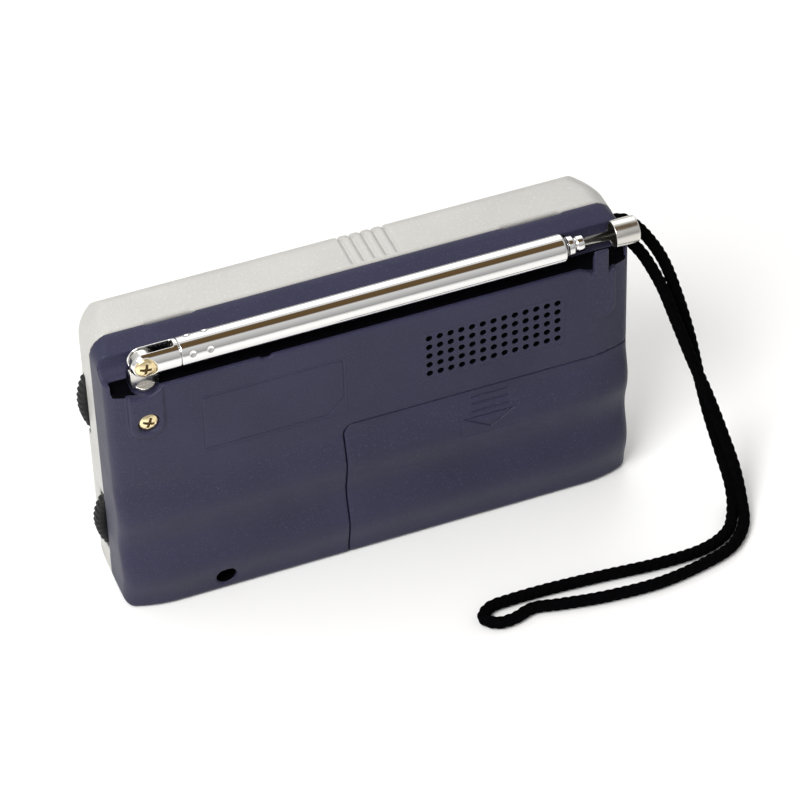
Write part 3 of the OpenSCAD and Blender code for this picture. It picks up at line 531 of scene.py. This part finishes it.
def back_shell():
    """The navy half, with the aerial's cradle and what the battery cover hides."""
    x, y, z, place = grid((-68.4, -4.9, -0.8), (68.4, 16.9, 80.8), CASE_STEP)
    outside = back_outside(x, y, z)
    cover_corner = round_both(x - DOOR_X - DOOR_GAP + 0 * z, z - DOOR_Z - DOOR_GAP + 0 * x, 3)
    rear_inner = y - (BACK_D - WALL - bow(x))
    hollow = np.maximum(np.maximum(np.abs(x) - HALF_W + WALL, rear_inner), slab(z, WALL, CASE_H - WALL))
    roof = np.maximum(AERIAL_Y - GROOVE_R - WALL - y, GROOVE_FLOOR - WALL - z)
    hollow = round_cut(hollow, roof, 0.3)
    for cx, cz, _ in CASE_SCREWS[:2]:
        hollow = cut(hollow, disc(x, z, cx, cz, 3.9))
    for centre, low, r, top in ((58.3, 56.8, 4.4, 74), (-58.6, 55.6, 3.7, FIN_TOP)):
        outside = round_join(outside, pad(x, y, z, centre, low, r, top), 0.25)
    hollow = np.maximum(hollow, outline(x, z, WALL) + 0 * y)
    shell = cut(outside, np.maximum(hollow, -y - 0.5))
    shell = cut(shell, np.maximum(cover_corner, 1 - y))
    # what the cover hides: deck, tray, its step and the screw columns
    inner = np.maximum(np.maximum(np.abs(x) - HALF_W + WALL + 0.35, rear_inner + 0.35), 1.9 - z)
    deck = block(x, y, z, (-90, 12.4), (DECK_Y, DECK_Y + 1.4), (1.9, 46))
    tray = block(x, y, z, (BAY[0] - 1, BAY[1] + 1), (BAY_FLOOR - 1.2, DECK_Y + 1), (1.9, BAY_Z[1] + 1))
    under = np.minimum(deck, tray)
    for cx, cz, _ in CASE_SCREWS[2:]:
        under = np.minimum(under, np.maximum(disc(x, z, cx, cz, 3.1), slab(y, 0.4, DECK_Y + 1)))
    under = round_cut(under, block(x, y, z, BAY, (BAY_FLOOR, 90), BAY_Z), 0.3)
    under = np.maximum(under, inner)
    step = np.minimum(block(x, y, z, (11, 12.4), (DECK_Y, 12.8), (1.9, 46)),
                      block(x, y, z, (-60, 12.4), (DECK_Y, 12.8), (44.6, 46)))
    shell = np.minimum(shell, np.minimum(under, step))
    shell = round_cut(shell, cradle(x, y, z), 0.3)
    # windows for the finely shaped skins
    for xs, zs in (VENT_SKIN, LABEL_SKIN):
        shell = cut(shell, block(x, y, z, inset(xs), (11, 40), inset(zs)))
    for cx, cz, seat in CASE_SCREWS:
        shell = cut(shell, disc(x, z, cx, cz, SHANK_R + 0.15))
        shell = round_cut(shell, np.maximum(disc(x, z, cx, cz, HEAD_R + 0.15), seat - y), 0.15)
    eyelet = np.maximum(round_rect(y, z, (0.9, 4.7), (69.2, 77.05), 1.7), x + 62)
    shell = round_cut(shell, eyelet, 0.3)
    wheel_slot = np.maximum(disc(x, z, VOLUME[0], VOLUME[1], VOLUME[2] + 0.9), np.maximum(60 - x, y - 0.4))
    shell = cut(shell, wheel_slot)
    shell = cut(shell, block(x, y, z, (DOOR_X - 1, DOOR_X + 1.5), (DECK_Y + 1.35, 12.4), (-2, 2.2)))
    seam = np.broadcast_to(seam_gap(x) - y, shell.shape) - 5.2 * (under < 0.6)
    shell = round_both(shell, seam, 0.15)
    points, faces = net(shell, place)
    piece = mesh_piece("back_case", points, faces, NAVY, "case", ["back_shell"], "back_shell")
    darken_holes(piece)


def darken_holes(piece):
    """The deep trench under the aerial and the low screw's hole get painted shade: a near-black material over
    what is navy plastic.
    """
    x, y, z = face_centres(piece)
    low_screw = np.hypot(x - CASE_SCREWS[1][0], z - CASE_SCREWS[1][1]) < HEAD_R + 0.5
    trench = (y > 9.2) & (y < 13.1) & (z > 70) & (z < 73) & (np.abs(x) < POCKET_X)
    second_material(piece, PAINTED_SHADE_BLACK, trench | (low_screw & (y < BACK_D - 0.5) & (y > 3)))


def face_centres(piece):
    mesh = piece.data
    centres = np.empty(3 * len(mesh.polygons), dtype=np.float32)
    mesh.polygons.foreach_get("center", centres)
    return (centres.reshape(-1, 3) / MM).T


def second_material(piece, material, where):
    piece.data.materials.append(material)
    piece.data.polygons.foreach_set("material_index", where.astype(np.int32))


def inset(span):
    return span[0] + 0.4, span[1] - 0.4


def skin(name, xs, zs, cuts, body):
    """Finely shaped patch of the back, a hair proud of the coarser shell that it closes."""
    x, y, z, place = grid((xs[0] - 0.4, 11.9, zs[0] - 0.4), (xs[1] + 0.4, 16.4, zs[1] + 0.4), SKIN_STEP)
    rear = y - (BACK_D + wave(z) - bow(x)) - 0.015
    edge = np.maximum(slab(x, *xs), slab(z, *zs))
    made = np.maximum(np.maximum(rear, BACK_D - WALL - y), edge + 0 * y)
    made = round_cut(made, np.maximum(cuts(x, y, z), 0 * y - 9), 0.08)
    points, faces = net(made, place)
    return mesh_piece(name, points, faces, NAVY, body)


def back_skins():
    """The cooling holes, the framed blank panel and the cover's finger grip."""
    def vents(x, y, z):
        first_x, first_z = VENT_START
        column = np.clip(np.round((first_x - x) / VENT_PITCH), 0, VENT_COLUMNS - 1)
        row = np.clip(np.round((first_z - z) / VENT_PITCH), 0, VENT_ROWS - 1)
        across = x - first_x + VENT_PITCH * column
        down = z - first_z + VENT_PITCH * row
        return np.sqrt(across ** 2 + down ** 2) - VENT_R + 0 * y

    def panel_line(x, y, z):
        return np.maximum(np.abs(label_panel(x, z)) - 0.16, BACK_D - 0.16 - y)

    def grip(x, y, z):
        shape = np.maximum(z - 35.1, (2.3 * np.abs(x + 28.5) / 4.1 + 31.5 - z) / 1.15)
        shape = np.abs(shape) - 0.17
        for height in GRIP_LINES:
            shape = np.minimum(shape, np.maximum(slab(x, *GRIP_X), np.abs(z - height) - 0.25))
        return np.maximum(shape, BACK_D + wave(z) - 0.32 - y)

    holes = skin("vent_skin", *VENT_SKIN, vents, "case")
    x, y, z = face_centres(holes)
    # The vent holes' inner walls get painted shade, near black instead of navy
    second_material(holes, PAINTED_SHADE_BLACK, (y < BACK_D - 0.12) & (y > BACK_D - WALL + 0.1))
    skin("panel_skin", *LABEL_SKIN, panel_line, "case")
    skin("grip_skin", *GRIP_SKIN, grip, "battery_door")


def label_panel(x, z):
    panel = round_rect(x, z, (8.7, 44.5), (48.3, 64.5), 0.6)
    return np.maximum(panel, (8.7 + 48.3 + 4.6 - x - z) / math.sqrt(2))


def battery_cover():
    """The slide-off cover with its end wall, its floor and the tongue along its inner edge."""
    x, y, z, place = grid((-68.4, -0.6, -0.8), (11.4, 16.9, 44.2), COVER_STEP)
    outside = back_outside(x, y, z)
    edge = round_both(x - DOOR_X + 0 * z, z - DOOR_Z + 0 * x, 3)
    outside = round_both(outside, np.broadcast_to(edge, outside.shape), 0.25)
    rear_inner = y - (BACK_D - WALL - bow(x))
    hollow = np.maximum(np.maximum(WALL - HALF_W - x, rear_inner), WALL - z)
    cover = cut(outside, hollow)
    cover = round_both(cover, np.broadcast_to(0.3 - y, cover.shape), 0.2)
    cover = np.maximum(cover, 0.2 - z)
    cover = np.maximum(cover, np.where((z < 2) & (y < 12.4) & (x > DOOR_X - 0.9), 1.0, -9.0))
    cover = cut(cover, block(x, y, z, inset(GRIP_SKIN[0]), (11, 40), inset(GRIP_SKIN[1])))
    tongue = np.minimum(block(x, y, z, (DOOR_X - 1.5, DOOR_X + 1.2), (DECK_Y + 1.55, 12.25), (2.4, 40)),
                        block(x, y, z, (DOOR_X - 1.5, DOOR_X - 0.3), (DECK_Y + 1.55, 13), (2.4, 40)))
    cover = np.minimum(cover, tongue)
    points, faces = net(cover, place)
    mesh_piece("battery_cover", points, faces, NAVY, "battery_door", ["battery_door"], "battery_door")


# ---- screws ----

def cross_head(name, x, z, seat, head_r, head_h, shank_r, length, turn, body, replaces=()):
    """Domed screw head with a cross recess, seen from +Y, and its shank."""
    reach = head_r + 0.2
    u, v, w, place = grid((-reach, -0.2, -reach), (reach, head_h + 0.3, reach), SCREW_STEP)
    dome = np.sqrt(u ** 2 + (v - head_h + DOME_R) ** 2 + w ** 2) - DOME_R
    head = round_both(np.sqrt(u ** 2 + w ** 2) - head_r + 0 * v, dome, 0.25)
    head = np.maximum(head, -v)
    a = math.cos(turn) * u + math.sin(turn) * w
    b = math.cos(turn) * w - math.sin(turn) * u
    depth = head_h - 0.95 + 0.35 * np.sqrt(u ** 2 + w ** 2)
    arm = 0.42 - 0.09 * np.sqrt(u ** 2 + w ** 2)
    cross = np.minimum(np.maximum(np.abs(a) - arm, np.abs(b) - head_r * 0.72),
                       np.maximum(np.abs(b) - arm, np.abs(a) - head_r * 0.72))
    head = round_cut(head, np.maximum(cross, depth - v), 0.08)
    points, faces = net(head, place)
    points = points + np.array([x, seat, z])
    top = mesh_piece(name, points, faces, BRASS, body, replaces)
    # Faces sunk into the cross get the dark brass as painted shade
    fx, fy, fz = face_centres(top)
    across = np.hypot(fx - x, fz - z)
    sunk = head_h - DOME_R + np.sqrt(DOME_R ** 2 - across ** 2) - (fy - seat) > 0.16
    second_material(top, PAINTED_RECESS_SHADE, sunk & (across < head_r * 0.76) & (fy > seat + 0.05))
    sides = 24
    turns = np.arange(sides) * 2 * math.pi / sides
    rings = []
    for k in range(int(length / 0.25) + 1):
        y = seat + 0.05 - 0.25 * k
        crest = 0.12 * abs((k % 4) - 2) / 2
        r = shank_r - crest if k > 4 else shank_r
        rings.append(np.stack([x + r * np.sin(turns), np.full(sides, y), z + r * np.cos(turns)], -1))
    mesh_piece(name + "_shank", *tube_mesh(rings), BRASS, body)
    return top


def screws():
    for i, (x, z, seat) in enumerate(CASE_SCREWS):
        covers = ["case_screws"] if i == 0 else ()
        turn = 0.35 + 0.8 * i
        cross_head(f"case_screw_{i + 1}", x, z, seat, HEAD_R, 1.3, SHANK_R, 16, turn, "case", covers)
    cross_head("hinge_screw", PIVOT_X, AERIAL_Z, AERIAL_Y + 2.3, 2.6, 1.1, 1.2, 5.2, 0.2, "aerial_base",
               ["pivot_screw"])


# ---- aerial ----

def dimples(x, turn):
    """Two rows of crimp marks near the tube's hinge end."""
    depth = 0
    for cx in (45.6, 41.2):
        for k in range(4):
            angle = math.radians(20 + 90 * k)
            off = np.angle(np.exp(1j * (turn - angle))) * AERIAL_R
            far = np.hypot(x - cx, off)
            depth = depth + 0.3 * np.exp(-far ** 4 / 0.22)
    return depth


def aerial():
    """Base tube, two sections, thin rod and tip cap, each a skin of revolution."""
    y, z, r = AERIAL_Y, AERIAL_Z, AERIAL_R
    fine = [(x, r) for x in np.linspace(48.0, 38.5, 96)]
    tube = [(48.35, 3.06), *arc(48.05, r - 0.3, 0.3, 0, 90, 5), *fine, (-49.0, r),
            *arc(-49.3, r - 0.9, 0.9, 90, 165, 8), (-50.6, r - 1.1), (-50.6, 3.05)]
    mesh_piece("base_tube", *lathe_x(tube, y, z, 96, dimples), CHROME, "aerial_base", ["aerial_tube"],
               "aerial_tube")
    second = [(45, 2.2), (45, 3), (-50.2, 3), (-50.5, 2.3), (-50.9, 2.3), *arc(-51.15, 2.2, 0.3, 60, 90, 3),
              *arc(-52.2, 2.25, 0.25, 90, 170, 4), (-52.5, 2.05), (-52.7, 2.05), (-53, 1.9), (-53, 1.2)]
    mesh_piece("second_tube", *lathe_x(second, y, z), CHROME, "section_2", ["aerial_section_2"],
               "aerial_section_2")
    third = [(44, 1.3), (44, 2.1), (-52.7, 2.1), (-53.0, 1.65), (-53.3, 1.65),
             *arc(-53.6, 1.7, 0.28, 60, 90, 3), *arc(-54.9, 1.7, 0.28, 90, 170, 4),
             (-55.3, 1.5), (-55.6, 1.4), (-55.6, 0.9)]
    mesh_piece("third_tube", *lathe_x(third, y, z), CHROME, "section_3", ["aerial_section_3"],
               "aerial_section_3")
    rod = [(43, 0.3), *arc(42.8, 1.05, 0.2, 0, 90, 3), (-67.4, 1.25)]
    mesh_piece("inner_rod", *lathe_x(rod, y, z, 48), NICKEL, "rod", ["aerial_rod"], "aerial_rod")
    cap = [(-67.3, 1.2), (-67.4, 2.75), *arc(-67.2, 2.75, 0.2, 180, 90, 3), (-63.1, 2.95),
           *arc(-63.1, 3.15, 0.2, 270, 360, 3), *arc(-63.1, 3.2, 0.2, 0, 90, 4), (-65.0, 3.4),
           *arc(-68.8, 3.0, 0.4, 90, 180, 6), (-69.2, 0.4)]
    mesh_piece("tip_cap", *lathe_x(cap, y, z, 96), NICKEL, "rod", ["aerial_cap"], "aerial_cap")


def knuckle():
    """Slotted end of the aerial, with a round nose and a flat for the screw's head."""
    x, y, z, place = grid((44.8, 6.1, 73.2), (61.5, 14.3, 81.4), HINGE_STEP)
    axis = disc(y, z, AERIAL_Y, AERIAL_Z, AERIAL_R)
    ball = np.sqrt((x - PIVOT_X) ** 2 + (y - AERIAL_Y) ** 2 + (z - AERIAL_Z) ** 2) - AERIAL_R
    barrel = round_both(axis + 0 * x, slab(x, 48.45, 70) + 0 * y + 0 * z, 0.25)
    barrel = np.maximum(barrel, np.where(x > PIVOT_X, ball, -9))
    plug = np.maximum(disc(y, z, AERIAL_Y, AERIAL_Z, 3.0), slab(x, 45.5, 50))
    made = np.minimum(barrel, plug)
    slot = round_rect(x, y, (PIVOT_X - 7.7, 90), (AERIAL_Y - 1.25, AERIAL_Y + 1.25), 0.6)
    made = round_cut(made, np.broadcast_to(slot, made.shape), 0.15)
    flat = np.maximum(disc(x, z, PIVOT_X, AERIAL_Z, 2.75), AERIAL_Y + 2.3 - y)
    made = round_cut(made, flat, 0.1)
    points, faces = net(made, place)
    mesh_piece("hinge_knuckle", points, faces, CHROME, "aerial_base", ["aerial_knuckle"], "aerial_knuckle")


def swivel():
    """Upright tongue between the knuckle's cheeks, on a round foot that turns in the case."""
    x, y, z, place = grid((53.1, 6.1, 64.6), (61.3, 14.3, 80.8), HINGE_STEP)
    foot = np.maximum(disc(x, y, PIVOT_X, AERIAL_Y, 2.6), slab(z, 70.1, 71))
    shaft = np.maximum(disc(x, y, PIVOT_X, AERIAL_Y, 2), slab(z, 65, 71))
    lower = block(x, y, z, (PIVOT_X - 3.5, PIVOT_X + 3.5), None, (70.5, 75.2))
    upper = block(x, y, z, (PIVOT_X - 3, PIVOT_X + 3), None, (75, AERIAL_Z))
    seen = np.minimum(np.minimum(lower, upper), disc(x, z, PIVOT_X, AERIAL_Z, 3))
    tongue = round_both(seen + 0 * y, slab(y, AERIAL_Y - 1.1, AERIAL_Y + 1.1) + 0 * x, 0.15)
    made = np.minimum(np.minimum(foot, shaft), round_join(foot + 0 * z, tongue, 0.3))
    made = cut(made, disc(x, z, PIVOT_X, AERIAL_Z, 1.25))
    points, faces = net(made, place)
    mesh_piece("swivel_block", points, faces, NICKEL, "swivel", ["aerial_swivel"], "aerial_swivel")


# ---- thumbwheels ----

def thumbwheel(name, centre, ys, teeth, body, node):
    """Disc with a rolled knurl on its rim and a raised ring on its faces."""
    cx, cz, r = centre
    sides = teeth * 6
    turn = np.arange(sides) * 2 * math.pi / sides
    tooth = 0.45 * (0.5 - 0.5 * np.cos(turn * teeth)) ** 1.6
    low, high = ys
    profile = [(low + 0.3, 4), (low + 0.3, r - 4), (low, r - 3.6), (low, r - 0.9), (low + 0.25, r - 0.2),
               (low + 0.5, r), (high - 0.5, r), (high - 0.25, r - 0.2), (high, r - 0.9), (high, r - 3.6),
               (high - 0.3, r - 4), (high - 0.3, 4)]
    rings = []
    for y, radius in profile:
        share = max(0, min(1, (radius - r + 1.2) / 1))
        rim = radius - share * tooth
        rings.append(np.stack([cx + rim * np.sin(turn), np.full(sides, y), cz + rim * np.cos(turn)], -1))
    mesh_piece(name, *tube_mesh(rings), BLACK, body, [node], node)


# ---- wrist strap ----

def strap_path(steps):
    """Points along the strap's route, the same curve as its CAD solid, in metres."""
    route = np.array(STRAP_ROUTE, dtype=float)
    last = len(route) - 1
    path = []
    for i in range(last):
        a, b, c, d = (route[min(max(k, 0), last)] for k in (i - 1, i, i + 1, i + 2))
        for t in np.arange(steps) / steps:
            path.append(0.5 * (2 * b + (c - a) * t + (2 * a - 5 * b + 4 * c - d) * t * t
                               + (3 * b - a - 3 * c + d) * t ** 3))
    path.append(route[-1])
    path = np.array(path)
    path[:, 2] = np.maximum(path[:, 2], STRAP_D / 2)
    return path


def strap():
    """Round braid: two sets of threads cross in diamonds over the tube."""
    path = strap_path(24)
    steps = np.linalg.norm(np.diff(path, axis=0), axis=1)
    along = np.concatenate([[0], np.cumsum(steps)])
    length = along[-1]
    even = np.linspace(0, length, int(length / 0.28))
    path = np.stack([np.interp(even, along, path[:, k]) for k in range(3)], -1)
    tangent = np.gradient(path, axis=0)
    tangent /= np.linalg.norm(tangent, axis=1)[:, None]
    sides = 32
    turn = np.arange(sides) * 2 * math.pi / sides
    side = np.array([0.0, 1.0, 0.0])
    pitch = 4.4
    rings = []
    for s, p, t in zip(even, path, tangent):
        side = side - (side @ t) * t
        side /= np.linalg.norm(side)
        other = np.cross(t, side)
        phase = 2 * math.pi * s / pitch
        threads = np.abs(np.sin(2 * turn + phase)) ** 0.7
        fine = np.abs(np.sin(12 * turn - 5 * phase))
        r = STRAP_D / 2 - 0.34 * (1 - threads) - 0.05 * fine
        rings.append(p + np.outer(r * np.cos(turn), side) + np.outer(r * np.sin(turn), other))
    piece = mesh_piece("braided_strap", *tube_mesh(rings), BRAID, "case", ["wrist_strap"], "wrist_strap")
    centre = path[::6] * MM
    centre = np.concatenate([centre, path[-1:] * MM])


# ---- what the CAD already shapes ----

def finish_cad_nodes():
    """Materials for the CAD nodes that stay, and small bevels on the plain ones outside."""
    def plain(name, colour, rough, **more):
        return surface(name, colour, rough, blotch=0.1, blotch_scale=200, grain=0.01,
                       grain_scale=1500, **more)

    window = surface("clear_window", (0.9, 0.93, 0.94), 0.06, blotch=0.02, blotch_scale=80, alpha=0.22)
    looks = {
        "speaker_grille": surface("grille_paint", (0.58, 0.57, 0.54), 0.35, metal=0.6, blotch=0.05,
                                  blotch_scale=150, grain=0.006, grain_scale=1500),
        "speaker_frame": STEEL, "speaker_magnet": plain("ferrite", (0.05, 0.05, 0.055), 0.5),
        "speaker_cone": plain("cone_paper", (0.03, 0.03, 0.032), 0.9),
        "dial_window": window, "dial_plate": plain("dial_print", (0.86, 0.85, 0.80), 0.5),
        "dial_pointer": plain("pointer_red", (0.62, 0.03, 0.02), 0.35), "pointer_rail": STEEL,
        "dial_cord": plain("waxed_thread", (0.7, 0.66, 0.55), 0.8),
        "tuning_shaft": BRASS, "tuning_capacitor": plain("polystyrene", (0.8, 0.8, 0.74), 0.35),
        "volume_shaft": NICKEL, "volume_control": STEEL, "band_switch_knob": GLOSS_BLACK,
        "band_switch_body": BLACK, "power_switch_knob": GLOSS_BLACK, "power_switch_body": BLACK,
        "tuning_lamp": plain("lamp_red", (0.6, 0.02, 0.02), 0.2),
        "circuit_board": plain("solder_mask", (0.03, 0.16, 0.07), 0.4), "board_screws": STEEL,
        "ferrite_rod": plain("sintered", (0.06, 0.055, 0.055), 0.55),
        "ferrite_coil": plain("enamel_copper", (0.5, 0.2, 0.07), 0.3, metal=0.8),
        "ferrite_holder": plain("nylon", (0.8, 0.8, 0.76), 0.5), "if_transformers": NICKEL,
        "electrolytics": plain("sleeve_blue", (0.03, 0.03, 0.16), 0.35), "chips": BLACK,
        "earphone_jack": BLACK, "dc_jack": BLACK,
        "contact_plates": STEEL, "battery_springs": STEEL, "swivel_washer": STEEL, "strap_knot": BRAID,
    }
    for name in ("aa_cell_1", "aa_cell_2"):
        looks[name] = CELL
    for name, material in looks.items():
        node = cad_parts[name]
        node.data.materials.clear()
        node.data.materials.append(material)
    for name in ("band_switch_knob", "power_switch_knob", "tuning_lamp", "dial_window"):
        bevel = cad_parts[name].modifiers.new("bevel", "BEVEL")
        bevel.width = 0.2 * MM
        bevel.segments = 3
        bevel.limit_method = "ANGLE"


# ---- dial scale ----

def scale_marks():
    """Rows of tick marks and plain numbers on the dial plate, seen from -Y."""
    face = -13.02
    ink = surface("scale_ink", (0.03, 0.03, 0.035), 0.5, blotch=0.1, blotch_scale=200)
    points, faces = [], []
    for height, count in ((63.2, 41), (57.4, 33), (51.6, 41)):
        for i in range(count):
            x = 4 + 42 * i / (count - 1)
            tall = 2.0 if i % 8 == 0 else 1.1
            first = len(points)
            points += [(x - 0.09, face, height), (x + 0.09, face, height), (x + 0.09, face, height + tall),
                       (x - 0.09, face, height + tall)]
            faces.append((first, first + 1, first + 2, first + 3))
        first = len(points)
        points += [(3.5, face, height - 0.12), (46.5, face, height - 0.12), (46.5, face, height + 0.02),
                   (3.5, face, height + 0.02)]
        faces.append((first, first + 1, first + 2, first + 3))
    mesh_piece("scale_ticks", points, faces, ink, "case", smooth=False)
    rows = ((60.1, (88, 92, 96, 100, 104, 108)),
            (54.3, (53, 70, 90, 110, 140)),
            (48.4, (6, 7, 9, 12, 15, 18)))
    for height, numbers in rows:
        for i, number in enumerate(numbers):
            curve = bpy.data.curves.new(f"number_{number}", "FONT")
            curve.body = str(number)
            curve.size = 2.7 * MM
            curve.align_x = "CENTER"
            text = bpy.data.objects.new(f"number_{number}", curve)
            x = 4 + 42 * i / (len(numbers) - 1)
            text.matrix_world = (Matrix.Translation(Vector((x, face, height)) * MM)
                                 @ Matrix.Rotation(math.pi / 2, 4, "X"))
            bpy.context.collection.objects.link(text)
            text.data.materials.append(ink)
            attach(text, "case")


# ---- light and floor ----

def paper_floor():
    half = 3.0
    mesh = bpy.data.meshes.new("floor")
    mesh.from_pydata([(-half, -half, 0), (half, -half, 0), (half, half, 0), (-half, half, 0)], [],
                     [(0, 1, 2, 3)])
    mesh.materials.append(surface("floor", (0.9, 0.9, 0.89), 0.6, blotch=0.01, blotch_scale=4))
    floor = bpy.data.objects.new("floor", mesh)
    bpy.context.collection.objects.link(floor)


def along_direction(tree, place, direction):
    """Dot product of the world's direction with a unit vector: 1 towards it, -1 away from it."""
    dot = tree.nodes.new("ShaderNodeVectorMath")
    dot.operation = "DOT_PRODUCT"
    dot.inputs[1].default_value = Vector(direction).normalized()
    tree.links.new(place.outputs["Generated"], dot.inputs[0])
    return dot.outputs["Value"]


def studio_world():
    """White surroundings with a brown patch overhead, which the chrome shows, fading away from the key."""
    world = bpy.data.worlds.new("studio")
    bpy.context.scene.world = world
    world.use_nodes = True
    tree = world.node_tree
    sky = tree.nodes["Background"]
    place = tree.nodes.new("ShaderNodeTexCoord")
    patch = along_direction(tree, place, (-0.25, 0.2, 0.95))
    ramp = ramp_between(tree, patch, (1.0, 1.0, 1.0), (0.16, 0.10, 0.045), 0.90, 0.95)
    tree.links.new(ramp.outputs["Color"], sky.inputs["Color"])
    falloff = tree.nodes.new("ShaderNodeMapRange")
    falloff.inputs["From Min"].default_value = -0.5
    falloff.inputs["To Min"].default_value = 0.22
    falloff.inputs["To Max"].default_value = 0.97
    tree.links.new(along_direction(tree, place, (0.3, -0.1, 0.95)), falloff.inputs["Value"])
    tree.links.new(falloff.outputs["Result"], sky.inputs["Strength"])


def lamp(name, where, size, power):
    """Square area light, in metres and watts, that faces the origin."""
    data = bpy.data.lights.new(name, "AREA")
    data.size = size
    data.energy = power
    made = bpy.data.objects.new(name, data)
    made.location = where
    made.rotation_euler = (-Vector(where)).to_track_quat("-Z", "Y").to_euler()
    bpy.context.collection.objects.link(made)


def studio():
    """Pale floor, soft surroundings and two lamps."""
    bpy.context.scene.view_settings.view_transform = "Standard"
    paper_floor()
    studio_world()
    lamp("key", (0.28, 0.26, 0.50), 0.3, 3.2)
    lamp("front", (-0.3, -1.2, 1.0), 1.2, 6)


make_camera()
strap()
front_shell()
back_shell()
battery_cover()
back_skins()
screws()
aerial()
knuckle()
swivel()
thumbwheel("tuning_rim", TUNING, (-11.3, -8.3), 60, "tuning", "tuning_wheel")
thumbwheel("volume_rim", VOLUME, (-4.4, -1.2), 48, "volume", "volume_wheel")
finish_cad_nodes()
scale_marks()
studio()
